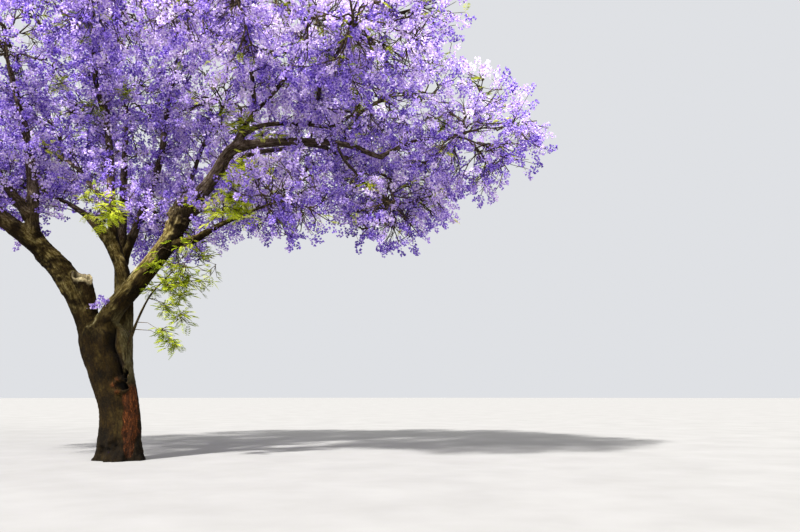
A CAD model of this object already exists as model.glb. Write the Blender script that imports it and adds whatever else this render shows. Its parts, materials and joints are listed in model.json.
"""A flowering jacaranda: bark with relief on the trunk and boughs, and twigs, blossom and young
leaves grown on from the boughs' tips. Metres, +Z up, the trunk's foot at the origin."""

import json
import math
from types import SimpleNamespace as Values

import bpy
import numpy as np
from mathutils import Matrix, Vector, noise

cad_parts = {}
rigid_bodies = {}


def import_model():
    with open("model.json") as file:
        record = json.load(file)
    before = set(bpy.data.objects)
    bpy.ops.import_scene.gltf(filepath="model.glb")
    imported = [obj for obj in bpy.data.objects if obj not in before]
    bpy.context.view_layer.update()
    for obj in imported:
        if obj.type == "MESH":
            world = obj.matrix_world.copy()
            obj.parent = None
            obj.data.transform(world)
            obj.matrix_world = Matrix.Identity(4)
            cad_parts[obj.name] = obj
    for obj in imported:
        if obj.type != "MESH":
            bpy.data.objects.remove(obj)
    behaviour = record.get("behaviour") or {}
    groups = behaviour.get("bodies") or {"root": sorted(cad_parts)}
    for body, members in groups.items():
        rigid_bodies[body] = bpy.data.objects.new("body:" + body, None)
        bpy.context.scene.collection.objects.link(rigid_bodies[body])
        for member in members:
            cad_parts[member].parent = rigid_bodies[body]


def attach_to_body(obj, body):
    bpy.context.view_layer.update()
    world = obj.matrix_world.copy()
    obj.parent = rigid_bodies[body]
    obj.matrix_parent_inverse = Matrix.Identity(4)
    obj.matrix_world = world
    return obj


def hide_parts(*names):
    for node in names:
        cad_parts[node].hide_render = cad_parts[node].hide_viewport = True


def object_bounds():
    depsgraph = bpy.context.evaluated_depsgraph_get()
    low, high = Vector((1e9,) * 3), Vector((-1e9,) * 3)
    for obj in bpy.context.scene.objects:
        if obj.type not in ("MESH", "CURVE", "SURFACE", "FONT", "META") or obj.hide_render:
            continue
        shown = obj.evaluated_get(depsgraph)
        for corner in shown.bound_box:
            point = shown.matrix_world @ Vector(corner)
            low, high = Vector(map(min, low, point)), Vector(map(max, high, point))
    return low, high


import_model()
cad_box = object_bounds()

UP = np.array((0.0, 0.0, 1.0))
GOLDEN_ANGLE = math.pi * (3 - math.sqrt(5))
LIMB_STEPS = 24
# A limb's slow sway: turns along it, and how much it swings aside and rises for each degree.
SWAY = Values(turns=1.6, aside=2, rise_rate=1.3)

# Trunk: half-widths across and through, the flare at its foot, the swelling under the fork, the
# lean towards -X, the buttresses of the roots, the seam up its front and the rounding of its top.
TRUNK = Values(
    height=3.25, half_width=0.455, half_depth=0.425, flare=0.135, flare_height=0.35,
    fork_from=1.0, swell_width=0.17, swell_depth=0.12, lean_from=0.6, lean=0.56,
    buttresses=5, buttress_turn=1, buttress_depth=0.09, buttress_height=0.42,
    seam_angle=-52, seam_width=13, seam_depth=0.2, seam_from=1.35, round_from=2.7, rounding=0.86,
)
# The line that the trunk's grain follows, and the radius that it counts as.
TRUNK_LINE = np.array(((0, 0, 0), (0, 0, 0.8), (-0.2, 0, 1.9), (-0.5, 0, 3.0)))
TRUNK_RADIUS = 0.45
# The old hollow low on the front: two pockets that run into each other, across, up and half-sizes.
HOLLOW = ((0.09, 1.71, 0.1, 0.1), (0.12, 1.93, 0.05, 0.15))
# The knobs of old callus round it: across, up and radius.
KNOBS = ((-0.06, 1.72, 0.065), (0.0, 1.58, 0.05), (0.26, 1.69, 0.05), (-0.01, 1.86, 0.04))
# Dark pockets between the roots in front.
POCKETS = ((-0.22, 0.24, 0.17, 0.12), (0.05, 0.36, 0.12, 0.18))
# The dark fissure down the trunk's front from the fork to the hollow, as up and across, between the
# heights where it fades. A roll of bark stands on each side of it, as its middle and its width.
FISSURE = Values(
    line=((1.96, 0.07), (2.14, -0.01), (2.37, -0.09), (2.65, -0.18), (3.1, -0.25)),
    top=(3.2, 2.9), foot=(1.85, 2.0), wave=0.02, waves=9, width=0.045, wider=0.02,
    wider_over=(2.2, 2.9), rolls=((0.17, 0.1), (-0.16, 0.09)),
)
# How deep each old wound goes into the front of the trunk. Those below zero stand out of it.
WOUNDS = dict(pit=0.15, crack=0.17, dent=0.07, lip=-0.03, knobs=-0.06, rolls=-0.035)

# Every limb: what it springs from, its foot in the trunk or its share along a limb, its headings
# (0 is +X, 90 is +Y) and rises from foot to tip in degrees, its sway, its length, its radii from foot
# to tip, and the half-width and half-height of the blossom mass at its tip.
LIMBS = {
    "bough_left": dict(
        parent="trunk", foot=(-0.69, -0.04, 2.45), heading=(180, 184), sway=1,
        rise=(74, 72, 56, 44, 38, 38, 22, 21), length=6.107, crown=(1.7, 1.3),
        radius=(0.285, 0.283, 0.28, 0.275, 0.228, 0.205, 0.17, 0.125, 0.085),
    ),
    "bough_right": dict(
        parent="trunk", foot=(-0.64, -0.13, 2.6), heading=(-2, -6),
        rise=(78, 70, 52, 49, 54, 52, 66, 80), length=3.84, radius=(0.275, 0.228, 0.215),
    ),
    "bough_centre": dict(
        parent="trunk", foot=(-0.13, 0.27, 2.3), heading=(130, 135, 150, 158, 160),
        rise=(88, 86, 85, 84, 78, 59, 57, 46, 44), length=3.95, radius=(0.215, 0.18, 0.138),
    ),
    "bough_back": dict(
        parent="trunk", foot=(-0.42, 0.3, 2.45), heading=(101, 117, 117), sway=2,
        rise=(51, 57, 65, 79, 83), length=7.16, radius=(0.21, 0.075), crown=(2, 1.65),
    ),
    "bough_left_riser": dict(
        parent="bough_left", at=0.54, heading=(184, 180), sway=1,
        rise=(78, 88, 80, 76, 72, 72), length=4.4, radius=(0.165, 0.07), crown=(1.95, 1.7),
    ),
    "bough_left_outer": dict(
        parent="bough_left_riser", at=0.14, heading=(186, 192), sway=1,
        rise=(46, 54, 50, 48, 44), length=3.1, radius=(0.135, 0.06), crown=(1.95, 1.55),
    ),
    "bough_left_back": dict(
        parent="bough_left", at=0.42, heading=(121, 151, 153), sway=5,
        rise=(36, 40, 32, 18), length=4.74, radius=(0.12, 0.055), crown=(1.95, 1.4),
    ),
    "bough_left_front": dict(
        parent="bough_left", at=0.72, heading=(262, 248, 240), sway=5,
        rise=(48, 36, 24), length=3.46, radius=(0.105, 0.052), crown=(2, 1.45),
    ),
    "bough_centre_riser": dict(
        parent="bough_centre", at=0.72, heading=(150, 156), sway=1,
        rise=(76, 82, 82, 79, 83, 84), length=5.25, radius=(0.13, 0.068), crown=(2, 1.6),
    ),
    "bough_centre_side": dict(
        parent="bough_centre", at=1, heading=(178, 170), sway=1,
        rise=(40, 36, 27, 24, 14), length=1.8, radius=(0.1, 0.062, 0.038), crown=(1.2, 0.85),
    ),
    "bough_front": dict(
        parent="bough_centre_riser", at=0.7, heading=(270, 300), sway=4,
        rise=(40, 24, 8), length=4.1, radius=(0.072, 0.046), crown=(2.1, 1.45),
    ),
    "bough_right_upper": dict(
        parent="bough_right", at=1, heading=(-4, 2),
        rise=(46, 44, 57, 65, 36), length=2.13, radius=(0.178, 0.144),
    ),
    "bough_top": dict(
        parent="bough_back", at=0.42, heading=(10, -10, -19, -20, -47, -58, -44, -34),
        rise=(70, 72, 67, 73, 80, 76, 66, 55), length=6.3, radius=(0.12, 0.064), crown=(2.05, 1.6),
    ),
    "bough_right_riser": dict(
        parent="bough_right_upper", at=0.97, heading=(14, 4), sway=1,
        rise=(78, 62, 46, 56, 60), length=2.6, radius=(0.072, 0.042), crown=(2, 1.6),
    ),
    "bough_right_back": dict(
        parent="bough_right_upper", at=0.42, heading=(76, 54), sway=5,
        rise=(40, 30, 16), length=4.62, radius=(0.095, 0.05), crown=(2.1, 1.6),
    ),
    "bough_right_low": dict(
        parent="bough_right", at=0.78, heading=(-8, -4), sway=1,
        rise=(0, 8, 26, 32, 24, 22, 20), length=2.35, radius=(0.115, 0.038), crown=(1.3, 0.9),
    ),
    "bough_right_arch": dict(
        parent="bough_right_upper", at=1, heading=(2, -2),
        rise=(13, 5, 4, 0, -3, -10, -26, -18), length=3.7, radius=(0.125, 0.06),
    ),
    "bough_arch_tip": dict(
        parent="bough_right_arch", at=0.98, heading=(0, 6),
        rise=(32, 28, 20, 4), length=1.35, radius=(0.055, 0.038), crown=(1.8, 1.3),
    ),
    "bough_right_top": dict(
        parent="bough_right_upper", at=0.99, heading=(4, 6),
        rise=(78, 38, 12, 0, 0, -12, 40, 26), length=3.3, radius=(0.072, 0.042), crown=(1.9, 1.4),
    ),
    "bough_right_front": dict(
        parent="bough_right_riser", at=0.42, heading=(-80, -92, -92, -84), sway=3,
        rise=(46, 30, 10, -4), length=3.45, radius=(0.056, 0.042), crown=(2.05, 1.45),
    ),
    "bough_arch_front": dict(
        parent="bough_right_top", at=0.62, heading=(-70, -70, -62), sway=4,
        rise=(40, 18, 4), length=2.9, radius=(0.05, 0.038), crown=(1.95, 1.3),
    ),
    "bough_arch_back": dict(
        parent="bough_right_arch", at=0.42, heading=(72, 46), sway=4,
        rise=(11, 5, -11), length=3.21, radius=(0.062, 0.038), crown=(1.9, 1.35),
    ),
    "bough_arch_low": dict(
        parent="bough_right_arch", at=0.66, heading=(45, 21), sway=3,
        rise=(-53, -41, -41), length=1.48, radius=(0.042, 0.03), crown=(1.4, 0.9),
    ),
    "bough_back_right": dict(
        parent="bough_back", at=0.3, heading=(48, 64), sway=4,
        rise=(54, 46, 32), length=5.36, radius=(0.125, 0.055), crown=(2.1, 1.6),
    ),
    "bough_back_low": dict(
        parent="bough_back", at=0.5, heading=(97, 85), sway=4,
        rise=(37, 29, 15), length=3.65, radius=(0.095, 0.05), crown=(2, 1.4),
    ),
    "bough_back_left": dict(
        parent="bough_back", at=0.6, heading=(150, 138), sway=4,
        rise=(44, 40, 28), length=3.93, radius=(0.085, 0.048), crown=(1.95, 1.5),
    ),
    "bough_back_inner": dict(
        parent="bough_back_right", at=0.42, heading=(4, -16), sway=4,
        rise=(75, 72, 64), length=3.3, radius=(0.075, 0.045), crown=(1.7, 1.3),
    ),
    "pruned_stub": dict(
        parent="bough_left", at=0.125, heading=(180, 180),
        rise=(88, 84, 77, 73), length=1.07, radius=(0.245, 0.235, 0.222),
    ),
    "shoot_right": dict(
        parent="trunk", foot=(-0.06, -0.12, 2.2), heading=(-6, -2),
        rise=(60, 78, 70, 64, 44), length=2.15, radius=(0.042, 0.02),
    ),
}

# The young leafy shoots: each one's limb and its share along it, the way it points from the bark,
# how far off its middle lies, and its half-width and half-height.
SHOOTS = {
    "leaves_trunk_shoot": dict(
        parent="shoot_right", at=1, reach=0.6, size=(0.9, 0.75),
    ),
    "leaves_under_arch": dict(
        parent="bough_right_upper", at=0.72, heading=-25, rise=-38, reach=0.42, size=(0.62, 0.56),
    ),
    "leaves_low_bough": dict(
        parent="bough_right_low", at=0.62, heading=-70, rise=48, reach=0.4, size=(0.62, 0.48),
    ),
    "leaves_centre": dict(
        parent="bough_centre_riser", at=0.2, heading=-95, rise=10, reach=0.4, size=(0.62, 0.52),
    ),
}

# Limbs whose joins are fused and smoothed into one skin. The others stand in their parent's side.
FUSED = (
    "bough_left", "bough_right", "bough_centre", "bough_back", "bough_left_riser",
    "bough_centre_riser", "bough_centre_side", "bough_right_upper", "bough_right_low",
    "bough_right_arch", "bough_right_riser", "bough_right_top", "bough_top", "pruned_stub",
)
SKIN = Values(voxel=0.0272, spacing=0.08, sides=20, smoothing=0.5, rounds=9)
SLIM = Values(spacing=0.05, sides=10)
# The swelling where a limb leaves its parent, in shares of the limb's radius and the parent's.
SWELLING = Values(over=0.4, starts=0.8, fades=0.6)

# The pruned stub: how far its top leans out to the front, how deep its foot stands in the bough, how
# far it is built beyond the cut, how the cut slants, how far from its middle it counts as stub and
# how far from the bough, and the callus rim with the hollow inside it.
STUB = Values(
    lean=np.array((0.0, -0.15, 0.0)), inside=0.3, inside_share=0.8, beyond=0.25,
    slant=(0.3, -0.4, 1.0), height=0.06, rag=0.05, waves=21, wave=0.03,
    reach=(0.36, 0.3), off_bough=(0.2, 0.26), bough_part=(0.15, 0.5), left=(-0.19, -0.14),
    below=(-0.4, -0.3), rim=0.2, rim_width=0.05, rim_rise=0.03, hole=(0.19, 0.15), hole_depth=0.14,
)
# The patch of bare red-brown bark low on the trunk's right: its top, which rises to the right, its
# left and right edges with their slopes, and how deep it lies.
RED = Values(
    top=1.54, top_rise=0.2, rise_over=(0.16, 0.28), left=0.11, left_slope=0.085, right=0.39,
    right_slope=0.07, narrowing=0.05, narrow_over=(0.9, 1.4), edge=0.03, depth=0.012,
)

# The middle of the stretch of the right bough that is rough with burrs, and how far they reach.
BURRS = (1.16, -0.28, 5.7)
BURRS_REACH = 0.42
# The kinds of noise in the wood: features to a metre, octaves and seed.
NOISES = dict(
    muscles=(3.2, 2, 0.0), ridges=(13, 3, 5.0), plates=(30, 2, 9.0), knots=(3.5, 1, 31.0),
    lumps=(8, 2, 12.0), burls=(4.5, 2, 17.0), rag=(9, 2, 8.0), moss=(3.5, 3, 4.0), crest=(5, 2, 23.0),
)
# How far each stands out. Those up to the knots stand out less on limbs slimmer than full radius.
RELIEF = Values(
    full_radius=0.3, least=0.25, middle=0.006, muscles=0.03, ridges=0.016, plates=0.007, knots=0.1,
    burrs=0.035, lumps=0.13, burls=0.085,
)

# Where the bark weathers: the way that moss and bleached crests face, the heights over which moss,
# grey and crests come and go, and how much of a pale strip lies down the trunk's right side, where.
WEATHER = Values(
    moss_way=(-0.45, -0.25, 0.8), moss_from=(2.7, 4.2), grey_from=(5.2, 6.8),
    crest_way=(-0.53, 0.16, 0.83), crest_from=(2.7, 3.5), crest_to=(9.0, 7.5),
    strip=0.12, strip_from=(1.6, 2.2), strip_to=(3.6, 3.2),
)

# Tufts of young leaves on the boughs: where each stands, how far it spreads and its twigs.
TUFTS = (
    (1.3, -0.4, 2.72, 0.3, 22), (1.02, -0.35, 2.95, 0.26, 18), (1.42, -0.35, 3.3, 0.28, 20),
    (1.05, -0.3, 3.52, 0.28, 22), (1.38, -0.2, 3.78, 0.26, 18), (0.95, -0.15, 4.2, 0.3, 22),
    (1.45, -0.25, 4.15, 0.26, 16), (0.62, -0.25, 3.98, 0.2, 10), (0.7, -0.3, 4.6, 0.26, 16),
    (2.72, -0.35, 8.1, 0.26, 22), (2.5, -0.35, 7.95, 0.2, 12), (3.2, -0.4, 7.84, 0.16, 10),
    (3.55, -0.4, 7.86, 0.14, 8), (4.4, -0.3, 9.02, 0.28, 14), (5.5, -0.3, 8.6, 0.3, 16),
    (6.17, -0.3, 9.44, 0.2, 9), (6.9, -0.35, 8.94, 0.24, 10), (7.74, -0.4, 8.05, 0.28, 14),
    (7.66, -0.4, 7.43, 0.22, 9), (2.78, -0.5, 6.98, 0.18, 16), (2.62, -0.5, 6.7, 0.24, 34),
    (2.86, -0.5, 6.78, 0.18, 16), (2.46, -0.55, 6.24, 0.24, 28), (2.76, -0.55, 6.14, 0.24, 26),
    (2.68, -0.6, 5.88, 0.28, 34), (2.86, -0.6, 5.66, 0.26, 24), (3.02, -0.5, 6.93, 0.16, 8),
    (2.02, -0.5, 5.92, 0.16, 10), (5.87, -0.2, 6.6, 0.28, 12), (-0.55, 0.1, 5.94, 0.28, 22),
    (-0.78, 0.15, 6.25, 0.24, 16), (-0.85, 0.2, 5.75, 0.2, 12), (-1.29, 0.2, 8.76, 0.28, 14),
    (-2.01, -0.3, 9.2, 0.24, 10), (-0.44, 0.3, 9.15, 0.24, 10), (-2.32, 0.2, 7.66, 0.26, 12),
    (2.25, -0.35, 8.45, 0.22, 10), (1.6, -0.45, 6.1, 0.2, 10),
)
# Sprigs of blossom low on the boughs: where each stands, how far it spreads and its sprays.
SPRIGS = (
    (-0.5, -0.22, 3.64, 0.13, 5), (1.68, -0.55, 6.13, 0.24, 9), (2.14, -0.5, 6.22, 0.22, 8),
    (1.35, -0.55, 6.35, 0.24, 8), (0.45, 0.1, 6.1, 0.26, 8), (-0.2, 0.4, 6.45, 0.28, 9),
    (1.85, -0.5, 5.45, 0.2, 6), (-2.35, -0.1, 6.55, 0.26, 8), (-1.75, 0.3, 6.9, 0.28, 9),
)

# The rule by which a mass is filled: its twigs part from the stem, branchlets part from the twigs
# and end in a puff, and each puff holds several sprays, each on a fine twig of its own. Most puffs
# lie in the outer layer, and leafy or bare twigs are a small share of a blossom mass.
GROWTH = Values(
    seed=50, leafy_seed=90, centre_share=0.5, stem_share=0.8, twigs=(9, 6), small_below=1.5,
    reaches=(1.0, 0.9, 0.8, 0.7, 0.6, 0.48), limit=1.2, margin=0.02, lift=0.15, lead=0.35,
    twig_room=0.08, puff_room=0.14, spray_room=0.05, full_size=2 * 2 * 1.5, branchlets=94,
    outer=(0.84, 1.02), inner=(0.35, 0.78), outer_in_ten=7, puff=0.42, sprays=7, spray=(0.2, 0.34),
    florets=17, floret=(0.048, 0.078), leafy=0.05, bare=0.07, leaves=4, leaf=(0.14, 0.28),
    tuft_leaf=(0.16, 0.28),
)
# How far in the bark a leafy shoot's stem is set, and its radius.
SHOOT_SET = 0.01
SHOOT_RADIUS = 0.02
# Side shoots on the boughs in the crown: how far apart, how long, and the sprays on each. The boughs
# that show clear of blossom have none. Those that it hides have more and shorter ones, each from a
# share of its length on.
WAYSIDE = Values(
    gap=0.28, above=5.6, length=(0.3, 0.95), sprays=5, forks=0.3, closer=0.36, shorter=0.55,
    clear=("bough_left", "bough_right", "bough_right_upper", "bough_right_arch", "bough_right_low"),
    hidden=dict(
        bough_front=0, bough_right_front=0, bough_arch_front=0, bough_top=0.3,
        bough_centre_riser=0.32, bough_left_riser=0.4, bough_left_front=0,
    ),
)
# The stretch of the upper right bough that shows bare: its heights, and how far to each side.
BARE = Values(low=6.25, high=7.7, left=-0.3, right=0.42)
# Sprays are paler the higher they stand and the more they face up, and most over the right bough.
PALER = Values(by_place=(0.05, -0.02, 0.1), by_side=(0.1, -0.1, 0.5), above=(6.5, 8), x=2.2, width=2.4)
# Radii of the twigs, from foot to tip. A leafy shoot has slimmer ones than a blossom mass.
RADII = dict(
    stem_tip=0.024, twig=(0.03, 0.012), branchlet=(0.022, 0.011), fine=(0.011, 0.009, 0.006),
    leafy_stem_tip=0.01, leafy_twig=(0.012, 0.0048), leafy_branchlet=(0.011, 0.0055),
    tuft=(0.011, 0.007, 0.004), shoot=(0.016, 0.007), shoot_fine=(0.008, 0.0065, 0.004),
)


def chance(seed, index):
    """A number from 0 to 1 that depends only on its two arguments."""
    wave = math.sin(seed * 127.1 + index * 311.7) * 43758.5453
    return wave - math.floor(wave)


def along(values, share):
    return np.interp(share, np.linspace(0, 1, len(values)), values)


def size_of(vectors):
    return np.linalg.norm(vectors, axis=-1)


def unit(vectors):
    return vectors / np.maximum(size_of(vectors), 1e-9)[..., None]


def heading_vector(heading, rise):
    heading, rise = np.radians(heading), np.radians(rise)
    flat = np.cos(rise)
    return np.stack((flat * np.cos(heading), flat * np.sin(heading), np.sin(rise)), axis=-1)


def smoothstep(low, high, value):
    share = np.clip((value - low) / (high - low), 0, 1)
    return share * share * (3 - 2 * share)


def gauss(distance, width):
    return np.exp(-((distance / width) ** 2))


def bend(start, control, end, t):
    """Points on the curve from start to end that the control point pulls aside."""
    return start * (1 - t) ** 2 + control * 2 * t * (1 - t) + end * t * t


def fractal(points, kind):
    """Smooth noise about zero at every point, with the features of its kind."""
    scale, octaves, seed = NOISES[kind]
    return np.array([noise.fractal(Vector(p), 0.9, 2.1, octaves) for p in points * scale + seed])


# The limbs and the spaces of the masses.


def limb_path(limb, foot, seed):
    """A limb's middle line: a step at a time in its heading and rise, with a slow sway."""
    share = (np.arange(LIMB_STEPS) + 0.5) / LIMB_STEPS
    turn = 2 * math.pi * (SWAY.turns * share + chance(seed, 1))
    sway = limb.get("sway", 0)
    heading = along(limb["heading"], share) + sway * SWAY.aside * np.sin(turn)
    rise = along(limb["rise"], share) + sway * np.cos(turn * SWAY.rise_rate)
    steps = heading_vector(heading, rise) * limb["length"] / LIMB_STEPS
    return np.vstack((foot, foot + np.cumsum(steps, axis=0)))


def point_on(path, share):
    at = np.clip(np.asarray(share, float), 0, 1) * (len(path) - 1)
    i = np.minimum(np.floor(at).astype(int), len(path) - 2)
    return path[i] + (path[i + 1] - path[i]) * (at - i)[..., None]


def direction_on(path, share):
    step = 0.5 / (len(path) - 1)
    return unit(point_on(path, np.asarray(share) + step) - point_on(path, np.asarray(share) - step))


def settle_limbs():
    """Every limb with its path; seeds follow the order of the limbs."""
    settled = {}
    for seed, (name, limb) in enumerate(LIMBS.items(), start=1):
        parent = settled.get(limb["parent"])
        foot = point_on(parent["path"], limb["at"]) if parent else np.array(limb["foot"])
        settled[name] = dict(
            limb, seed=seed, path=limb_path(limb, foot, seed), inside=parent is not None,
            parent_radius=along(parent["radius"], limb["at"]) if parent else 0.0,
        )
    return settled


def blossom_space(name, limb):
    """The space of the blossom mass at a bough's tip, an ellipsoid."""
    spread, height = limb["crown"]
    tip, lead = limb["path"][-1], direction_on(limb["path"], 1)
    return dict(
        name=name.replace("bough_", "blossom_"), seed=limb["seed"] + GROWTH.seed, limb=name,
        tip=tip, lead=lead, spread=spread, height=height, leafy=False,
        middle=tip + lead * spread * GROWTH.centre_share, stem_radius=limb["radius"][-1],
    )


def leafy_space(index, name, shoot):
    """The space of a leafy shoot, which grows from its limb's bark or goes on from its tip."""
    parent = limbs[shoot["parent"]]
    if shoot["at"] == 1:
        lead, off = direction_on(parent["path"], 1), 0
    else:
        lead = heading_vector(shoot["heading"], shoot["rise"])
        off = along(parent["radius"], shoot["at"]) - SHOOT_SET
    tip = point_on(parent["path"], shoot["at"]) + lead * off
    spread, height = shoot["size"]
    return dict(
        name=name, seed=index + GROWTH.leafy_seed, limb=shoot["parent"], tip=tip, lead=lead,
        spread=spread, height=height, leafy=True, middle=tip + lead * shoot["reach"],
        stem_radius=SHOOT_RADIUS,
    )


limbs = settle_limbs()
spaces = [blossom_space(name, limb) for name, limb in limbs.items() if "crown" in limb]
spaces += [leafy_space(index, *shoot) for index, shoot in enumerate(SHOOTS.items())]
middles = np.array([space["middle"] for space in spaces])
reach_of = np.array([(space["spread"], space["spread"], space["height"]) for space in spaces])
limb_shares = np.linspace(0, 1, LIMB_STEPS + 1)
limb_points = np.vstack([limb["path"] for limb in limbs.values()])
limb_radii = np.concatenate([along(limb["radius"], limb_shares) for limb in limbs.values()])


def is_free(index, points, clear):
    """Whether each point lies in the space, nearest to its middle, and off every limb."""
    near = size_of((points[:, None] - middles) / reach_of)
    own = near[:, index].copy()
    near[:, index] = np.inf
    others = (near - clear / reach_of[:, 0]).min(axis=1)
    off = size_of(points[:, None] - limb_points) - limb_radii
    inside = own < GROWTH.limit - clear / spaces[index]["spread"]
    return inside & (others > own + GROWTH.margin) & (off.min(axis=1) > clear)


def spread_directions(count, seed):
    """Directions evenly spread over a sphere, turned by the seed."""
    i = np.arange(count)
    z = 1 - (2 * (i + 0.5)) / count
    angle = i * GOLDEN_ANGLE + seed
    flat = np.sqrt(1 - z * z)
    return np.stack((flat * np.cos(angle), flat * np.sin(angle), z), axis=1)


# Lines, tubes and meshes.


def twig_curves(feet, leads, tips, steps, lift=GROWTH.lift):
    """Each twig bends from its foot, first along its lead and then out to its tip."""
    length = size_of(tips - feet)[:, None]
    control = feet + leads * length * GROWTH.lead + UP * length * lift * 0.5
    t = np.linspace(0, 1, steps)[None, :, None]
    return bend(feet[:, None], control[:, None], tips[:, None], t)


def kinked(curves, amount, rng):
    """The curves with small kinks between their ends, a share of their length."""
    length = size_of(curves[:, -1] - curves[:, 0])[:, None, None]
    off = rng.normal(0, 1, curves.shape) * length * amount
    off[:, 0] = 0
    off[:, -1] = 0
    return curves + off


def frames(points):
    """The heading, side and across of every point of every line, without twist."""
    heading = unit(np.gradient(points, axis=1))
    steep = np.abs(heading[:, :1, 2:]) > 0.9
    side = np.empty_like(points)
    side[:, 0] = unit(np.cross(heading[:, 0], np.where(steep, (1.0, 0.0, 0.0), UP)[:, 0]))
    for k in range(1, points.shape[1]):
        before = side[:, k - 1]
        over = (before * heading[:, k]).sum(axis=1, keepdims=True)
        side[:, k] = unit(before - over * heading[:, k])
    return heading, side, np.cross(heading, side)


def ring_faces(starts, rings, sides):
    """Four-sided faces between rings of points, for tubes whose first points are given."""
    first = starts[:, None, None] + (np.arange(rings - 1) * sides)[None, :, None]
    j, after = np.arange(sides), (np.arange(sides) + 1) % sides
    faces = np.stack((first + j, first + after, first + sides + after, first + sides + j), axis=-1)
    return faces.reshape(-1, 4)


def end_faces(rings, sides):
    """The two faces that close a tube of so many rings."""
    around = np.arange(sides)
    return around[::-1][None], (around + (rings - 1) * sides)[None]


def tubes(points, radii, sides):
    """Tapering tubes round many lines of equal point count, as points and four-sided faces."""
    count, rings, _ = points.shape
    _, side, across = frames(points)
    turn = (2 * math.pi * np.arange(sides) / sides)[:, None]
    ring = side[:, :, None] * np.cos(turn) + across[:, :, None] * np.sin(turn)
    verts = points[:, :, None] + ring * np.reshape(radii, (-1, 1, 1))
    return verts.reshape(-1, 3), ring_faces(np.arange(count) * rings * sides, rings, sides)


def joined(parts):
    """Several (points, faces) pairs of the same face size as one."""
    verts, faces, start = [], [], 0
    for points, corners in parts:
        verts.append(points)
        faces.append(corners + start)
        start += len(points)
    return np.vstack(verts), np.vstack(faces)


def placed(name, data):
    """A new object in the scene."""
    thing = bpy.data.objects.new(name, data)
    bpy.context.scene.collection.objects.link(thing)
    return thing


def mesh_of(name, verts, faces, smooth=False):
    mesh = bpy.data.meshes.new(name)
    mesh.from_pydata(verts.tolist(), [], faces)
    mesh.polygons.foreach_set("use_smooth", np.full(len(faces), smooth))
    return placed(name, mesh)


def vectors_of(values, key):
    """The vector of every point of a mesh, as one array."""
    flat = np.empty(len(values) * 3, np.float32)
    values.foreach_get(key, flat)
    return flat.reshape(-1, 3).astype(float)


def set_attribute(mesh, name, kind, values):
    attribute = mesh.attributes.new(name, kind, "POINT")
    key = "vector" if kind == "FLOAT_VECTOR" else "value"
    attribute.data.foreach_set(key, np.ascontiguousarray(values, np.float32).ravel())


# The trunk and boughs.


def trunk_points(height, angle):
    flare = TRUNK.flare * np.exp(-height / TRUNK.flare_height)
    swell = smoothstep(TRUNK.fork_from, TRUNK.height, height)
    half_width = TRUNK.half_width + flare + TRUNK.swell_width * swell
    half_depth = TRUNK.half_depth + flare + TRUNK.swell_depth * swell
    middle = -TRUNK.lean * smoothstep(TRUNK.lean_from, TRUNK.height, height)
    lobe = TRUNK.buttress_depth * np.exp(-height / TRUNK.buttress_height)
    turned = (np.degrees(angle) + 180 - TRUNK.seam_angle) % 360 - 180
    seam = TRUNK.seam_depth * smoothstep(TRUNK.seam_from, TRUNK.height, height)
    over = np.maximum(height - TRUNK.round_from, 0) / (TRUNK.height - TRUNK.round_from)
    grow = 1 + lobe * np.cos(TRUNK.buttresses * angle + TRUNK.buttress_turn)
    grow = grow - seam * gauss(turned, TRUNK.seam_width)
    grow = grow * np.sqrt(1 - TRUNK.rounding * over * over)
    x, y = middle + half_width * grow * np.cos(angle), half_depth * grow * np.sin(angle)
    return np.stack((x, y, height), axis=-1)


def trunk_column(rings=60, sides=80):
    height = np.linspace(0, TRUNK.height, rings)[:, None] * np.ones(sides)
    angle = 2 * math.pi * np.arange(sides)[None] / sides * np.ones((rings, 1)) - math.pi
    verts = trunk_points(height, angle).reshape(-1, 3)
    return verts, ring_faces(np.zeros(1, int), rings, sides), *end_faces(rings, sides)


def limb_line(name, spacing):
    """Points and radii along a limb, with the swelling where it leaves its parent."""
    limb = limbs[name]
    share = np.linspace(0, 1, max(int(limb["length"] / spacing), 6) + 1)
    points, radii = point_on(limb["path"], share), along(limb["radius"], share)
    if name == "pruned_stub":
        points = points + STUB.lean * share[:, None]
        inside = points[0] - direction_on(limb["path"], 0) * STUB.inside
        beyond = points[-1] + direction_on(limb["path"], 1) * STUB.beyond
        radii = np.hstack((radii[0] * STUB.inside_share, radii, radii[-1]))
        return np.vstack((inside, points, beyond)), radii
    if limb["inside"]:
        parent = limb["parent_radius"]
        out = np.maximum(share * limb["length"] - parent * SWELLING.starts, 0)
        radii = radii * (1 + SWELLING.over * np.exp(-out / (parent * SWELLING.fades)))
    return points, radii


def closed_limb(name):
    """A limb as a tube with its ends closed."""
    points, radii = limb_line(name, SKIN.spacing)
    return *tubes(points[None], radii, SKIN.sides), *end_faces(len(points), SKIN.sides)


def fused_skin():
    """The trunk and main boughs as one skin, rounded where they meet."""
    verts, faces, start = [], [], 0
    for points, *groups in (trunk_column(), *(closed_limb(name) for name in FUSED)):
        verts.append(points)
        faces += [face for group in groups for face in (group + start).tolist()]
        start += len(points)
    rough = mesh_of("rough_wood", np.vstack(verts), faces)
    remesh = rough.modifiers.new("fuse", "REMESH")
    remesh.mode = "VOXEL"
    remesh.voxel_size = SKIN.voxel
    smooth = rough.modifiers.new("round", "SMOOTH")
    smooth.factor = SKIN.smoothing
    smooth.iterations = SKIN.rounds
    evaluated = rough.evaluated_get(bpy.context.evaluated_depsgraph_get())
    mesh = bpy.data.meshes.new_from_object(evaluated)
    bpy.data.objects.remove(rough)
    return mesh


def slim_skin(names):
    """The slimmer boughs, each a many-ringed tube from inside its parent to its tip."""
    lines = [limb_line(name, SLIM.spacing) for name in names]
    verts, faces = joined([tubes(points[None], radii, SLIM.sides) for points, radii in lines])
    return mesh_of("slim_boughs", verts, faces.tolist())


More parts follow.
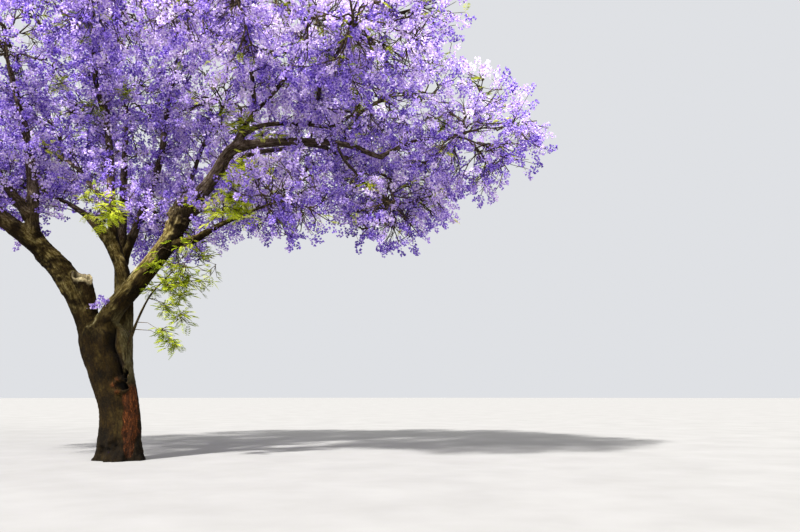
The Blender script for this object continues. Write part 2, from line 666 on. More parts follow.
def grain_of(verts, names):
    """Each point as it lies round its nearest limb, two across the wood and one along it, and the
    limb's radius there. The grain of each limb starts well away from the last one's."""
    lines = np.array([point_on(TRUNK_LINE, limb_shares)] + [limbs[name]["path"] for name in names])
    radii = [np.full(LIMB_STEPS + 1, TRUNK_RADIUS)]
    radii = np.concatenate(radii + [along(limbs[name]["radius"], limb_shares) for name in names])
    heading, side, across = (part.reshape(-1, 3) for part in frames(lines))
    steps = size_of(np.diff(lines, axis=1))
    run = np.hstack((np.zeros((len(lines), 1)), np.cumsum(steps, axis=1)))
    run = (run + 7.3 * np.arange(len(lines))[:, None]).ravel()
    centres = lines.reshape(-1, 3)
    grain, off = [], []
    for some in np.array_split(verts, len(verts) // 20000 + 1):
        best = (size_of(some[:, None] - centres) / radii).argmin(axis=1)
        out = some - centres[best]
        aside = (out * side[best]).sum(axis=1), (out * across[best]).sum(axis=1)
        grain.append(np.stack((*aside, run[best] + (out * heading[best]).sum(axis=1)), axis=1))
        off.append(radii[best])
    return np.vstack(grain), np.concatenate(off)


def relief(verts, normals, grain, radius):
    """Bark relief: long muscles in the wood, ridges along the grain, small plates and burrs."""
    size = np.clip(radius / RELIEF.full_radius, RELIEF.least, 1)
    long_grain = grain * (1, 1, 0.3)
    muscles = fractal(long_grain, "muscles") * RELIEF.muscles
    ridges = np.abs(fractal(long_grain, "ridges")) * RELIEF.ridges
    plates = fractal(grain * (1, 1, 0.6), "plates") * RELIEF.plates
    lift = size * (muscles + RELIEF.middle - ridges + plates)
    knots = np.maximum(fractal(verts, "knots") - 0.25, 0) * smoothstep(3.2, 4.2, verts[:, 2])
    lumps = RELIEF.burrs + RELIEF.lumps * np.maximum(fractal(verts, "lumps"), -0.2)
    lumps = lumps * gauss(size_of(verts - BURRS), BURRS_REACH)
    return verts + normals * (lift + size * knots * RELIEF.knots + lumps)[:, None]


def pocket(verts, across, up, wide, high):
    """How far each point on the front lies from a pocket's middle, in the pocket's half-sizes."""
    wobble = 0.25 * np.sin(verts[:, 2] * 31 + across * 40)
    off = np.hypot((verts[:, 0] - across) / wide + wobble, (verts[:, 2] - up) / high)
    return np.where(verts[:, 1] < 0, off, 9.0)


def outward(vectors):
    """The level heading of each vector."""
    return unit(vectors * (1, 1, 0) + (1e-6, 0, 0))


def fissure(verts):
    """How far each point on the front lies in the fissure, and in the rolls of bark beside it."""
    height = verts[:, 2]
    ups, acrosses = zip(*FISSURE.line)
    middle = np.interp(height, ups, acrosses)
    middle = middle + FISSURE.wave * np.sin(height * FISSURE.waves)
    run = smoothstep(*FISSURE.top, height) * smoothstep(*FISSURE.foot, height)
    wide = FISSURE.width + FISSURE.wider * smoothstep(*FISSURE.wider_over, height)
    beside = verts[:, 0] - middle
    rolls = sum(gauss(beside - off, width) for off, width in FISSURE.rolls)
    front = verts[:, 1] < 0
    return np.where(front, gauss(beside, wide) * run, 0), np.where(front, rolls * run, 0)


def old_wounds(verts):
    """The trunk with its hollow, lips, knobs, fissure and root pockets; how dark and how knobbly."""
    burls = smoothstep(0.8, 0.1, verts[:, 2]) * (fractal(verts * (1, 1, 0.7), "burls") - 0.3)
    verts = verts + outward(verts) * (burls * RELIEF.burls)[:, None]
    deep = np.min([pocket(verts, *place) for place in HOLLOW], axis=0)
    shallow = np.min([pocket(verts, *place) for place in POCKETS], axis=0)
    pit, dent = smoothstep(1.15, 0.75, deep), smoothstep(1.3, 0.1, shallow)
    lip = gauss(deep - 1.5, 0.4)
    knobs = [gauss(pocket(verts, across, up, radius, radius), 1) for across, up, radius in KNOBS]
    knobs = np.max(knobs, axis=0)
    crack, rolls = fissure(verts)
    forms = dict(pit=pit, crack=crack, dent=dent, lip=lip, knobs=knobs, rolls=rolls)
    inward = sum(form * WOUNDS[name] for name, form in forms.items())
    verts = verts + np.array((0, 1, 0)) * inward[:, None]
    return verts, np.maximum.reduce((pit, crack * 0.85, dent * 0.6)), knobs * (1 - pit)


def cut_stub(verts):
    """The pruned stub's slanting cut, hollow in the middle, in a ragged rim of callus."""
    away = verts - limbs["pruned_stub"]["path"][-1] - STUB.lean
    flat = np.hypot(away[:, 0], away[:, 1])
    beside = point_on(limbs["bough_left"]["path"], np.linspace(*STUB.bough_part, 22))
    gap = size_of(verts[:, None] - beside).min(axis=1)
    own = smoothstep(*STUB.reach, flat) * smoothstep(*STUB.off_bough, gap)
    own = own * smoothstep(*STUB.left, away[:, 0]) * smoothstep(*STUB.below, away[:, 2])
    ragged = STUB.rag * fractal(verts, "rag") + STUB.wave * np.sin(away[:, 0] * STUB.waves)
    over = away @ STUB.slant - STUB.height - ragged
    top = smoothstep(-0.05, -0.01, over) * own
    rim = gauss(flat - STUB.rim, STUB.rim_width) * top
    hole = smoothstep(*STUB.hole, flat) * top
    down = np.maximum(over, 0) * own + hole * STUB.hole_depth - rim * STUB.rim_rise
    verts = verts - UP * down[:, None] + outward(away) * (rim * STUB.rim_rise)[:, None]
    return verts, top * (1 - hole), hole


def red_patch(verts):
    """How far each point lies in the patch of bare red-brown bark, low on the trunk's right."""
    x, z = verts[:, 0], verts[:, 2]
    down = RED.top + RED.top_rise * smoothstep(*RED.rise_over, x) - z
    wave = 0.012 * np.sin(z * 17) + 0.015 * np.sin(z * 6.1 + 1)
    left = RED.left + RED.left_slope * down + wave
    narrowing = RED.narrowing * smoothstep(*RED.narrow_over, down)
    right = RED.right + RED.right_slope * down - narrowing - wave
    across = smoothstep(left, left + RED.edge, x) * smoothstep(right, right - RED.edge, x)
    ends = smoothstep(-0.02, 0.06, down + wave) * smoothstep(0.04, 0.14, z)
    return np.where(verts[:, 1] < 0, across * ends, 0)


def weathering(verts, normals):
    """Moss on the upper sides of the boughs, greyer bark high up, and bleached bark on crests and
    down the trunk's right side."""
    height = verts[:, 2]
    moss = smoothstep(0.0, 0.7, normals @ WEATHER.moss_way + 0.5 * fractal(verts, "moss"))
    grey = smoothstep(*WEATHER.grey_from, height)
    crest = normals @ WEATHER.crest_way + 0.3 * fractal(verts, "crest")
    crest = smoothstep(0.55, 0.95, crest) * smoothstep(*WEATHER.crest_from, height)
    right = smoothstep(0.3, 0.8, normals[:, 0]) * smoothstep(*WEATHER.strip_from, height)
    right = right * smoothstep(0.62, 0.7, verts[:, 0] + 0.28 * height) * WEATHER.strip
    return dict(
        moss=moss * smoothstep(*WEATHER.moss_from, height) * (1 - grey),
        grey=grey * (0.5 + 0.5 * moss),
        crest=np.maximum(
            crest * smoothstep(*WEATHER.crest_to, height),
            right * smoothstep(*WEATHER.strip_to, height),
        ),
    )


def work_bark(mesh, names, wounded):
    """Relief on a mesh, wounds where asked, and what the bark's material needs to know."""
    verts = vectors_of(mesh.vertices, "co")
    grain, radius = grain_of(verts, names)
    moved = relief(verts, vectors_of(mesh.vertex_normals, "vector"), grain, radius)
    pit, cut, red = np.zeros((3, len(verts)))
    if wounded:
        moved, pit, knobs = old_wounds(moved)
        moved, cut, hole = cut_stub(moved)
        pit = np.maximum.reduce((pit, hole * 0.85, 0.5 * smoothstep(0.95, 0.1, moved[:, 2])))
        red = np.maximum(red_patch(moved), knobs * 0.8)
        moved = moved - vectors_of(mesh.vertex_normals, "vector") * (red * RED.depth)[:, None]
        moved[:, 2] = np.where(verts[:, 2] < 0.06, np.maximum(moved[:, 2], 0), moved[:, 2])
        moved[:, 2] = np.where(verts[:, 2] < 0.015, 0, moved[:, 2])
    mesh.vertices.foreach_set("co", moved.astype(np.float32).ravel())
    set_attribute(mesh, "grain", "FLOAT_VECTOR", grain)
    known = weathering(moved, vectors_of(mesh.vertex_normals, "vector"))
    for name, values in dict(known, pit=pit, cut=cut, red=red).items():
        set_attribute(mesh, name, "FLOAT", values)
    mesh.polygons.foreach_set("use_smooth", np.full(len(mesh.polygons), True))
    mesh.update()


# The growth in the masses.


def sphere_points(count, rng):
    return unit(rng.normal(0, 1, (count, 3))) * rng.uniform(0.3, 1, (count, 1)) ** (1 / 3)


def main_twigs(index):
    """The stem of a mass and its main twigs, each the first of the tried reaches with room."""
    space = spaces[index]
    start = space["tip"]
    share = 1 if space["leafy"] else GROWTH.stem_share
    end = start + (space["middle"] - start) * share
    count = GROWTH.twigs[1 if space["spread"] < GROWTH.small_below else 0]
    curves = []
    for i, out in enumerate(spread_directions(count, space["seed"])):
        foot = start + (end - start) * (0.5 + 0.45 * chance(space["seed"], i + 20))
        for reach in GROWTH.reaches:
            tip = space["middle"] + out * reach_of[index] * reach
            if is_free(index, tip[None], GROWTH.twig_room)[0]:
                curves.append(twig_curves(foot[None], space["lead"][None], tip[None], 9)[0])
                break
    return np.linspace(start, end, 9), np.array(curves).reshape(-1, 9, 3)


def attach(points, stock, headings):
    """For each point the place in the stock that it grows from: near, and pointing towards it."""
    away = points[:, None] - stock
    gap = size_of(away)
    ahead = (away * headings).sum(axis=2)
    cost = gap - 0.45 * ahead + np.where(gap < 0.12, 3.0, 0)
    return cost.argmin(axis=1)


def puff_middles(index, rng):
    """The middles of a mass's puffs, most of them in its outer layer."""
    space = spaces[index]
    size = (space["spread"] ** 2 * space["height"] / GROWTH.full_size) ** (2 / 3)
    count = int(GROWTH.branchlets * size)
    out = spread_directions(count, space["seed"] * 1.7)
    out = unit(out + rng.normal(0, 0.16, out.shape))
    outer, inner = rng.uniform(*GROWTH.outer, count), rng.uniform(*GROWTH.inner, count)
    reach = np.where(np.arange(count) % 10 < GROWTH.outer_in_ten, outer, inner)
    puffs = space["middle"] + out * reach_of[index] * reach[:, None]
    return puffs[is_free(index, puffs, GROWTH.puff_room)]


def grow(index, rng):
    """The stem, twigs and branchlets of one mass. Branchlets end in the middles of its puffs."""
    space = spaces[index]
    stem, twigs = main_twigs(index)
    twigs = kinked(twigs, 0.018, rng)
    puffs = puff_middles(index, rng)
    bough = stem[:1] if space["leafy"] else limbs[space["limb"]]["path"][-7:]
    stock = np.vstack((stem[2:], twigs[:, 2:].reshape(-1, 3), bough))
    headings = np.vstack((
        unit(np.gradient(stem, axis=0))[2:], unit(np.gradient(twigs, axis=1))[:, 2:].reshape(-1, 3),
        np.tile(space["lead"], (len(bough), 1)),
    ))
    best = attach(puffs, stock, headings)
    leads = unit(headings[best] + rng.normal(0, 0.35, puffs.shape))
    return stem, twigs, kinked(twig_curves(stock[best], leads, puffs, 6), 0.045, rng)


def fine_twigs(index, branchlets, rng):
    """The fine twigs of each puff, and the puff of each."""
    each, puffs = GROWTH.sprays, branchlets[:, -1]
    around = sphere_points(len(puffs) * each, rng).reshape(-1, each, 3)
    away = unit((puffs - spaces[index]["middle"]) / reach_of[index] + UP * 0.15)
    around = around * (1, 1, 0.8) + away[:, None] * 0.25
    tips = (puffs[:, None] + around * GROWTH.puff).reshape(-1, 3)
    ring = rng.integers(2, 6, (len(puffs), each))
    feet = branchlets[np.arange(len(puffs))[:, None], ring].reshape(-1, 3)
    leads = np.repeat(unit(puffs - branchlets[:, 2]), each, axis=0)
    keep = is_free(index, tips, GROWTH.spray_room)
    lines = twig_curves(feet[keep], leads[keep], tips[keep], 3, lift=-0.1)
    return kinked(lines, 0.06, rng), np.repeat(np.arange(len(puffs)), each)[keep]


def in_box(points, margin=0.12):
    """Whether each point lies in the solids' box, with a little over."""
    low, high = np.array(cad_box[0]) - margin, np.array(cad_box[1]) + margin
    return ((points > low) & (points < high)).all(axis=1)


def before_bough(points):
    """Whether each point would hide the stretch of the upper right bough that shows bare."""
    path = limbs["bough_right_upper"]["path"]
    beside = points[:, 0] - np.interp(points[:, 2], path[:, 2], path[:, 0])
    level = (points[:, 2] > BARE.low) & (points[:, 2] < BARE.high)
    return level & (points[:, 1] < path[0, 1]) & (beside > BARE.left) & (beside < BARE.right)


# What grows: tubes of wood, sprays as foot, heading and paleness, leaves as root, heading and length.
branchlet_parts, twig_parts, sprays, leaves = [], [], [], []


def clothe(index):
    """Grow one mass: its wood, and a spray or a few leaves at the end of each fine twig."""
    space, rng = spaces[index], np.random.default_rng(spaces[index]["seed"])
    kind = "leafy_" if space["leafy"] else ""
    stem, twigs, branchlets = grow(index, rng)
    stem_radii = np.linspace(space["stem_radius"], RADII[kind + "stem_tip"], 9)
    branchlet_parts.append(tubes(stem[None], stem_radii, 6))
    branchlet_parts.append(tubes(twigs, np.linspace(*RADII[kind + "twig"], 9), 5))
    branchlet_parts.append(tubes(branchlets, np.linspace(*RADII[kind + "branchlet"], 6), 4))
    lines, puff = fine_twigs(index, branchlets, rng)
    twig_parts.append(tubes(lines, RADII["fine"], 3))
    ends = lines[:, -1]
    outside = unit((ends - space["middle"]) / reach_of[index])
    axes = unit(ends - lines[:, -2]) + outside * 0.7 + UP * 0.12
    axes = unit(axes + rng.normal(0, 0.25, axes.shape))
    leafy = np.ones(len(ends), bool) if kind else rng.random(len(ends)) < GROWTH.leafy
    bare = rng.random(len(ends)) < GROWTH.bare
    paleness = 0.45 * np.sin(puff * 2.399 + space["seed"]) + rng.normal(0, 0.55, len(ends))
    paleness = paleness + 0.9 * (ends @ PALER.by_place) + outside @ PALER.by_side
    over_bough = gauss(ends[:, 0] - PALER.x, PALER.width)
    paleness = paleness + 1.1 * over_bough * smoothstep(*PALER.above, ends[:, 2])
    own = ~(leafy | bare | before_bough(ends + axes * 0.1)) & in_box(ends + axes * 0.25)
    sprays.append((ends[own], axes[own], paleness[own]))
    own = leafy & in_box(ends) & ~before_bough(ends)
    for turn in range(GROWTH.leaves):
        way = unit((axes[own] + rng.normal(0, 0.7, axes[own].shape)) * (1, 1, 0.6))
        leaves.append((lines[own, -1 - turn % 2], way, rng.uniform(*GROWTH.leaf, own.sum())))


def grown_from_wood(middle, spread, count, rng):
    """Twigs that fan out round a point from one stalk, which grows from the nearest wood."""
    gap = size_of(limb_points - middle) - limb_radii
    foot = limb_points[gap.argmin()]
    fork = middle - unit(middle - foot) * min(0.1, size_of(middle - foot) * 0.3)
    tips = middle + sphere_points(count, rng) * spread * (0.85, 0.85, 0.7)
    stalk = twig_curves(foot[None], unit(fork - foot + UP * 0.3)[None], fork[None], 3)
    fan = twig_curves(np.tile(fork, (count, 1)), unit(tips - fork + UP * 0.1), tips, 3)
    twig_parts.append(tubes(np.vstack((stalk, fan)), RADII["tuft"], 3))
    return fan


def tuft(place, spread, count, rng):
    """Young leaves round a place near a bough, two on each twig."""
    fan = grown_from_wood(place, spread, count, rng)
    way = (fan[:, -1] - place) / spread * (1, 1, 0.35) + rng.normal(0, 0.2, (count, 3))
    for turn in range(2):
        lead = unit(way * (1, 1, 0.6) + rng.normal(0, 0.5 * turn + 0.1, way.shape))
        leaves.append((fan[:, -1 - turn], lead, rng.uniform(*GROWTH.tuft_leaf, count)))


def sprig(place, spread, count, rng):
    """Sprays of blossom round a place near a bough."""
    tips = grown_from_wood(place, spread, count, rng)[:, -1]
    axes = unit(tips - place + rng.normal(0, 0.05, tips.shape))
    sprays.append((tips, axes, rng.normal(0.9, 0.4, count)))


def wayside_shoots(rng):
    """Side shoots along the boughs in the crown, with twigs that part from them to carry sprays."""
    shoots, twigs = [], []
    for name, limb in limbs.items():
        if name in WAYSIDE.clear:
            continue
        share = 0.12
        while share < 0.97:
            hidden = share > WAYSIDE.hidden.get(name, 1)
            share += WAYSIDE.gap * (WAYSIDE.closer if hidden else 1) / limb["length"]
            foot = point_on(limb["path"], share + rng.uniform(-0.02, 0.02))
            length = rng.uniform(*WAYSIDE.length) * (WAYSIDE.shorter if hidden else 1)
            ahead = direction_on(limb["path"], share)
            out = unit(np.cross(ahead, rng.normal(0, 1, 3)))
            if foot[2] < WAYSIDE.above or limb["parent_radius"] == 0:
                continue
            tip = foot + unit(out + ahead * 0.5 + UP * 0.25) * length
            shoots.append(twig_curves(foot[None], unit(out + ahead)[None], tip[None], 6)[0])
            ends = tip + sphere_points(WAYSIDE.sprays, rng) * WAYSIDE.forks
            feet = shoots[-1][rng.integers(3, 6, len(ends))]
            twigs.append(twig_curves(feet, unit(ends - feet + out * 0.2), ends, 3))
    shoots, twigs = kinked(np.array(shoots), 0.03, rng), kinked(np.vstack(twigs), 0.05, rng)
    branchlet_parts.append(tubes(shoots, np.linspace(*RADII["shoot"], 6), 4))
    twig_parts.append(tubes(twigs, RADII["shoot_fine"], 3))
    ends, before = twigs[:, -1], twigs[:, -2]
    axes = unit(ends - before + rng.normal(0, 0.3, ends.shape))
    sprays.append((ends, axes, rng.normal(1.0, 0.8, len(ends))))


def square_to(feet, ways):
    """Two headings for each foot, square to its way and to each other."""
    _, side, across = frames(np.stack((feet, feet + ways), axis=1))
    return side[:, 0], across[:, 0]


def florets(bases, axes, lengths, rng):
    """The florets of many sprays: where each is attached, the way it opens, and its size."""
    count, each = len(bases), GROWTH.florets
    side, across = square_to(bases, axes)
    t = np.linspace(0.08, 1, each) + rng.normal(0, 0.05, (count, each))
    turn = np.arange(each) * GOLDEN_ANGLE + rng.uniform(0, 6.28, (count, 1))
    turn = turn + rng.normal(0, 0.3, (count, each))
    out = side[:, None] * np.cos(turn)[..., None] + across[:, None] * np.sin(turn)[..., None]
    wide = lengths[:, None] * (0.34 - 0.26 * t)
    roots = bases[:, None] + axes[:, None] * (lengths[:, None] * t)[..., None]
    roots = roots + out * (wide * rng.uniform(0.2, 0.8, t.shape))[..., None]
    lean = out + axes[:, None] * (0.15 + 0.75 * t)[..., None] - UP * 0.2
    lean = unit(lean + rng.normal(0, 0.35, lean.shape))
    return roots.reshape(-1, 3), lean.reshape(-1, 3), rng.uniform(*GROWTH.floret, t.size)


def funnels(roots, leads, sizes, rng):
    """A three-faced trumpet for each floret, its mouth uneven."""
    side, across = square_to(roots, leads)
    turn = np.arange(3) * math.pi / 1.5 + rng.uniform(0, 6.28, (len(roots), 1))
    wide = sizes[:, None] * rng.uniform(0.4, 0.66, (len(roots), 3))
    deep = sizes[:, None] * rng.uniform(0.7, 1.1, (len(roots), 3))
    rim = (
        roots[:, None] + leads[:, None] * deep[..., None]
        + side[:, None] * (wide * np.cos(turn))[..., None]
        + across[:, None] * (wide * np.sin(turn))[..., None]
    )
    verts = np.concatenate((roots[:, None], rim), axis=1).reshape(-1, 3)
    first = (np.arange(len(roots)) * 4)[:, None, None]
    return verts, (first + ((0, 1, 2), (0, 2, 3), (0, 3, 1))).reshape(-1, 3)


def feather_leaves(roots, leads, lengths, rng, pairs=6):
    """Feathery leaves: a drooping rib with pairs of narrow pinnae, each of two faces."""
    count, size = len(roots), lengths[:, None]
    tips = roots + leads * size - UP * (lengths * 0.22)[:, None]
    control = roots + leads * (lengths * 0.55)[:, None] + UP * (lengths * 0.06)[:, None]
    t = np.linspace(0, 1, pairs + 2)
    rib = bend(roots[:, None], control[:, None], tips[:, None], t[None, :, None])
    heading, side, _ = frames(rib)
    level = unit(np.cross(heading, UP) + side * 0.05)
    normal = unit(np.cross(level, heading) + rng.normal(0, 0.2, (count, 1, 3)))
    at, ahead, level_at, up = (part[:, 1:-1] for part in (rib, heading, level, normal))
    long = (size * 0.34 * np.sin(math.pi * (0.12 + 0.8 * t[1:-1])) ** 0.8)[..., None]
    blades = []
    for way in (1, -1):
        out = unit(level_at * way + ahead * 0.45 - up * 0.12)
        out = unit(out + rng.normal(0, 0.08, out.shape))
        broad = np.cross(out, up) * (long * 0.17)
        mid = at + out * (long * 0.5) + up * (long * 0.06)
        blades.append(np.stack((at, mid + broad, at + out * long, mid - broad), axis=2))
    verts = np.concatenate(blades, axis=1).reshape(-1, 3)
    quads = (np.arange(count * pairs * 2) * 4)[:, None] + np.arange(4)
    thin = (lengths * 0.012)[:, None, None] * level[:, :1]
    foot, middle, tip = rib[:, :1], rib[:, [(pairs + 1) // 2]], rib[:, -1:]
    strips = np.concatenate((foot - thin, foot + thin, tip, middle), axis=1).reshape(-1, 3)
    base = len(verts) + (np.arange(count) * 4)[:, None]
    faces = (quads[:, [0, 1, 2]], quads[:, [0, 2, 3]], base + (0, 1, 3), base + (1, 2, 3))
    return np.vstack((verts, strips)), np.concatenate(faces)


# Materials. Colours are red, green and blue from 0 to 255.

BLOSSOM_SHADES = {
    "deep": ((88, 60, 162), (128, 97, 206), (204, 178, 246)),
    "violet": ((114, 85, 184), (162, 133, 228), (234, 214, 254)),
    "mauve": ((140, 111, 201), (196, 169, 240), (248, 234, 255)),
    "lilac": ((170, 141, 218), (224, 202, 250), (254, 247, 255)),
    "pale": ((202, 176, 233), (244, 228, 255), (255, 253, 255)),
}
# Leaves between these heights, in the crown's shade, are the youngest and palest.
CROWN_SHADE = (5.35, 7.9)
LEAF_SHADES = {
    "young_leaves": ((150, 164, 22), (206, 218, 44), (244, 248, 104)),
    "sunlit_leaves": ((84, 98, 8), (136, 150, 14), (194, 202, 46)),
}
TWIG_SHADES = ((30, 22, 12), (56, 43, 26), (96, 80, 54))
# The bark's own tone, and the streaks along its grain that it is multiplied by.
BARK = ((0.36, (14, 8, 0)), (0.46, (25, 16, 1)), (0.54, (35, 25, 4)), (0.64, (52, 42, 17)))
STREAKS = ((0.36, (110, 104, 96)), (0.5, (196, 190, 180)), (0.62, (255, 250, 238)))
# What lies over it where the mesh says so: how much of it, whether in streaks or in flakes, its tone.
LAYERS = {
    "moss": (0.85, "streaks", ((0.38, (34, 26, 8)), (0.5, (84, 70, 32)), (0.64, (158, 144, 92)))),
    "grey": (0.8, "streaks", ((0.38, (32, 24, 18)), (0.5, (84, 70, 58)), (0.64, (160, 144, 130)))),
    "crest": (0.8, "streaks", ((0.4, (92, 80, 44)), (0.5, (158, 146, 96)), (0.62, (216, 208, 160)))),
    "red": (1.0, "flakes", (
        (0.4, (18, 8, 3)), (0.47, (38, 20, 8)), (0.53, (66, 34, 13)), (0.6, (134, 76, 36)),
    )),
    "cut": (1.0, "flakes", ((0.42, (96, 80, 50)), (0.56, (196, 182, 140)))),
}
FLECK, SHADOW, PIT = (96, 80, 46), (14, 9, 4), (12, 9, 7)


def srgb(red, green, blue):
    def linear(value):
        value /= 255
        return value / 12.92 if value <= 0.04045 else ((value + 0.055) / 1.055) ** 2.4
    return (linear(red), linear(green), linear(blue), 1.0)


class Material:
    """A material with short ways to add nodes. Inputs are other nodes' outputs or plain values."""

    def __init__(self, name, roughness, specular=0.25):
        self.made = bpy.data.materials.new(name)
        self.made.use_nodes = True
        self.nodes, self.links = self.made.node_tree.nodes, self.made.node_tree.links
        self.shader = self.nodes["Principled BSDF"]
        self.shader.inputs["Roughness"].default_value = roughness
        self.shader.inputs["Specular IOR Level"].default_value = specular

    def node(self, kind, output, inputs, **settings):
        """The named output of a new node."""
        node = self.nodes.new("ShaderNode" + kind)
        for name, value in settings.items():
            setattr(node, name, value)
        for socket, value in inputs.items():
            if isinstance(value, bpy.types.NodeSocket):
                self.links.new(value, node.inputs[socket])
            else:
                node.inputs[socket].default_value = value
        return node.outputs[output]

    def noise(self, place, scale, detail, roughness):
        values = dict(Vector=place, Scale=scale, Detail=detail, Roughness=roughness)
        return self.node("TexNoise", "Fac", values)

    def ramp(self, factor, stops):
        colour = self.node("ValToRGB", "Color", dict(Fac=factor))
        elements = colour.node.color_ramp.elements
        while len(elements) < len(stops):
            elements.new(0.5)
        for element, (place, tone) in zip(elements, stops):
            element.position = place
            element.color = srgb(*tone)
        return colour

    def mask(self, factor, low, high, most):
        """A share that grows from nothing at the low factor to the most at the high one."""
        values = {"Value": factor, "From Min": low, "From Max": high, "To Max": most}
        return self.node("MapRange", "Result", values)

    def mix(self, factor, first, second, blend="MIX"):
        return self.node("Mix", 2, {0: factor, 6: first, 7: second}, data_type="RGBA", blend_type=blend)

    def math(self, operation, first, second):
        return self.node("Math", 0, {0: first, 1: second}, operation=operation)

    def finish(self, colour, height, strength, distance):
        """Use a colour, and a height as bump."""
        values = dict(Height=height, Strength=strength, Distance=distance)
        self.links.new(colour, self.shader.inputs["Base Color"])
        self.links.new(self.node("Bump", "Normal", values), self.shader.inputs["Normal"])
        return self.made


def bark_material():
    """Grey-brown fissured bark, with flecks and shadows, its layers where they lie, and dark pits."""
    bark = Material("bark", 0.95, specular=0.08)
    grain = bark.node("Attribute", "Vector", {}, attribute_name="grain")
    long_grain = bark.node("Mapping", "Vector", dict(Vector=grain, Scale=(1, 1, 0.28)))
    streaks = bark.noise(long_grain, 20, 8, 0.8)
    speckle = bark.noise(grain, 55, 5, 0.8)
    rough = bark.math("ADD", streaks, speckle)
    patterns = dict(streaks=streaks, flakes=bark.math("MULTIPLY", rough, 0.5))
    base = bark.ramp(bark.noise(grain, 1.9, 5, 0.65), BARK)
    base = bark.mix(1.0, base, bark.ramp(streaks, STREAKS), "MULTIPLY")
    base = bark.mix(bark.mask(speckle, 0.58, 0.66, 0.45), base, srgb(*FLECK))
    base = bark.mix(bark.mask(speckle, 0.44, 0.36, 0.5), base, srgb(*SHADOW))
    for name, (most, pattern, stops) in LAYERS.items():
        share = bark.node("Attribute", "Fac", {}, attribute_name=name)
        tone = bark.ramp(patterns[pattern], stops)
        base = bark.mix(bark.math("MULTIPLY", share, most), base, tone)
    base = bark.mix(bark.node("Attribute", "Fac", {}, attribute_name="pit"), base, srgb(*PIT))
    return bark.finish(base, rough, 0.6, 0.014)


def growth_material(name, shades, scale, roughness=0.7, through=0.0):
    """A tint with fine variation between its shades. Thin petals and leaves let light through."""
    growth = Material(name, roughness)
    fine = growth.noise(growth.node("TexCoord", "Object", {}), scale, 2, 0.5)
    tint = growth.ramp(fine, list(zip(np.linspace(0.38, 0.62, len(shades)), shades)))
    made = growth.finish(tint, fine, 0.25, 0.01)
    if through:
        glow = growth.node("BsdfTranslucent", "BSDF", dict(Color=tint))
        values = {0: through, 1: growth.shader.outputs["BSDF"], 2: glow}
        surface = growth.nodes["Material Output"].inputs["Surface"]
        growth.links.new(growth.node("MixShader", "Shader", values), surface)
    return made


# The pieces.


def finish_piece(piece, material, slot, *replaced):
    piece.data.materials.append(material)
    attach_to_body(piece, "root")
    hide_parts(*replaced)


def grown_piece(name, shape, material, slot, nodes, smooth=False):
    verts, faces = shape
    finish_piece(mesh_of(name, verts, faces.tolist(), smooth), material, slot, *nodes)


bark = bark_material()
skin = fused_skin()
skin.materials.clear()
skin.name = "trunk_and_boughs"
work_bark(skin, FUSED, wounded=True)
main_nodes = [name for name in FUSED if name != "pruned_stub"]
finish_piece(placed("trunk_and_boughs", skin), bark, "bark", "trunk", *main_nodes)

slim_names = [name for name in limbs if name not in FUSED]
slim_piece = slim_skin(slim_names)
work_bark(slim_piece.data, slim_names, wounded=False)
finish_piece(slim_piece, bark, "bark", *slim_names)

for index in range(len(spaces)):
    clothe(index)
rng = np.random.default_rng(7)
for *place, spread, count in TUFTS:
    tuft(np.array(place), spread, count, rng)
for *place, spread, count in SPRIGS:
    sprig(np.array(place), spread, count, rng)
wayside_shoots(rng)

blossom_nodes = [space["name"] for space in spaces if not space["leafy"]]
leafy_nodes = [space["name"] for space in spaces if space["leafy"]]
twig_bark = growth_material("twig_bark", TWIG_SHADES, 22, roughness=0.9)
for name, parts in (("branchlets", branchlet_parts), ("fine_twigs", twig_parts)):
    grown_piece(name, joined(parts), twig_bark, "bark", blossom_nodes + leafy_nodes, smooth=True)

bases, axes, paleness = (np.concatenate(part) for part in zip(*sprays))
shade_of = paleness.argsort().argsort() * len(BLOSSOM_SHADES) // len(paleness)
rng = np.random.default_rng(11)
lengths = rng.uniform(*GROWTH.spray, len(bases))
for i, (name, shades) in enumerate(BLOSSOM_SHADES.items()):
    own = shade_of == i
    mouths = funnels(*florets(bases[own], axes[own], lengths[own], rng), rng)
    petals = growth_material("petal_" + name, shades, 20, through=0.45)
    grown_piece("blossom_" + name, mouths, petals, "blossom", blossom_nodes)

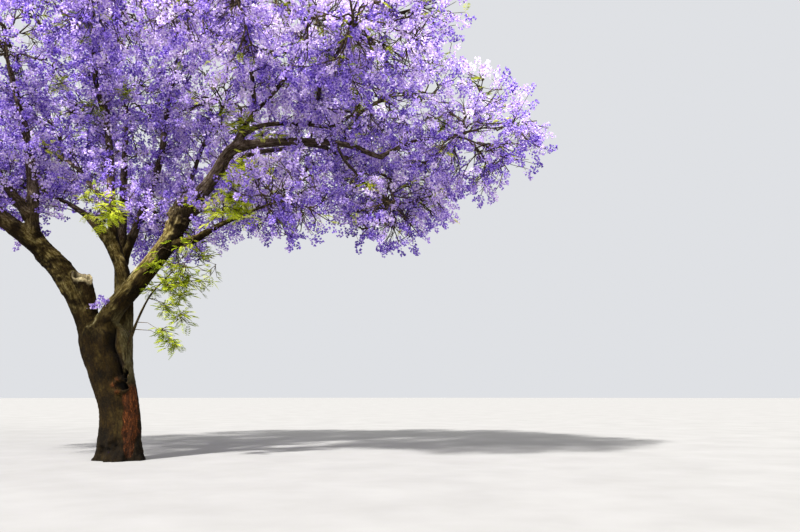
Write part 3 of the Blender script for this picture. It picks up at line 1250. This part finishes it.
roots, leads, lengths = (np.concatenate(part) for part in zip(*leaves))
shaded = (roots[:, 2] > CROWN_SHADE[0]) & (roots[:, 2] < CROWN_SHADE[1])
for name, shades in LEAF_SHADES.items():
    own = shaded == (name == "young_leaves")
    feathers = feather_leaves(roots[own], leads[own], lengths[own], rng)
    tint = growth_material("tint_" + name, shades, 5, through=0.5)
    grown_piece(name, feathers, tint, "leaf", leafy_nodes)

# The stage: a plain pale floor, soft light, and the camera at the photograph's angle.

FLOOR = Values(radius=400, corners=64, tones=((0.3, (134, 132, 129)), (0.7, (142, 140, 137))))
SKY = Values(colour=(236, 238, 242), strength=0.88)
SUNS = dict(
    key=dict(turned=(48, 0, -34), strength=11.2, angle=3),
    fill=dict(turned=(64, 0, 46), strength=2.0, angle=30),
)
CAMERA = Values(place=(6.575, -18.2, 1.5), tilt=99.68, lens=34.02, sensor=36, farthest=1000)


def stage_floor():
    paint = Material("floor", 0.95)
    tone = paint.noise(paint.node("TexCoord", "Object", {}), 0.6, 3, 0.6)
    paint.links.new(paint.ramp(tone, FLOOR.tones), paint.shader.inputs["Base Color"])
    corners = np.arange(FLOOR.corners)
    turn = corners * 2 * math.pi / FLOOR.corners
    rim = np.stack((np.cos(turn), np.sin(turn), np.zeros(len(turn))), axis=1) * FLOOR.radius
    floor = mesh_of("floor", rim, [corners.tolist()])
    floor.data.materials.append(paint.made)


def stage_light():
    world = bpy.data.worlds.new("studio")
    bpy.context.scene.world = world
    world.use_nodes = True
    sky = world.node_tree.nodes["Background"]
    sky.inputs["Color"].default_value = srgb(*SKY.colour)
    sky.inputs["Strength"].default_value = SKY.strength
    for name, sun in SUNS.items():
        light = bpy.data.lights.new(name, "SUN")
        light.energy = sun["strength"]
        light.angle = math.radians(sun["angle"])
        placed(name, light).rotation_euler = [math.radians(turn) for turn in sun["turned"]]


def stage_camera():
    camera = bpy.data.cameras.new("camera")
    camera.lens = CAMERA.lens
    camera.sensor_width = CAMERA.sensor
    camera.clip_end = CAMERA.farthest
    viewer = placed("camera", camera)
    viewer.location = CAMERA.place
    viewer.rotation_euler = (math.radians(CAMERA.tilt), 0, 0)
    bpy.context.scene.camera = viewer
    bpy.context.scene.view_settings.view_transform = "Standard"


stage_floor()
stage_light()
stage_camera()

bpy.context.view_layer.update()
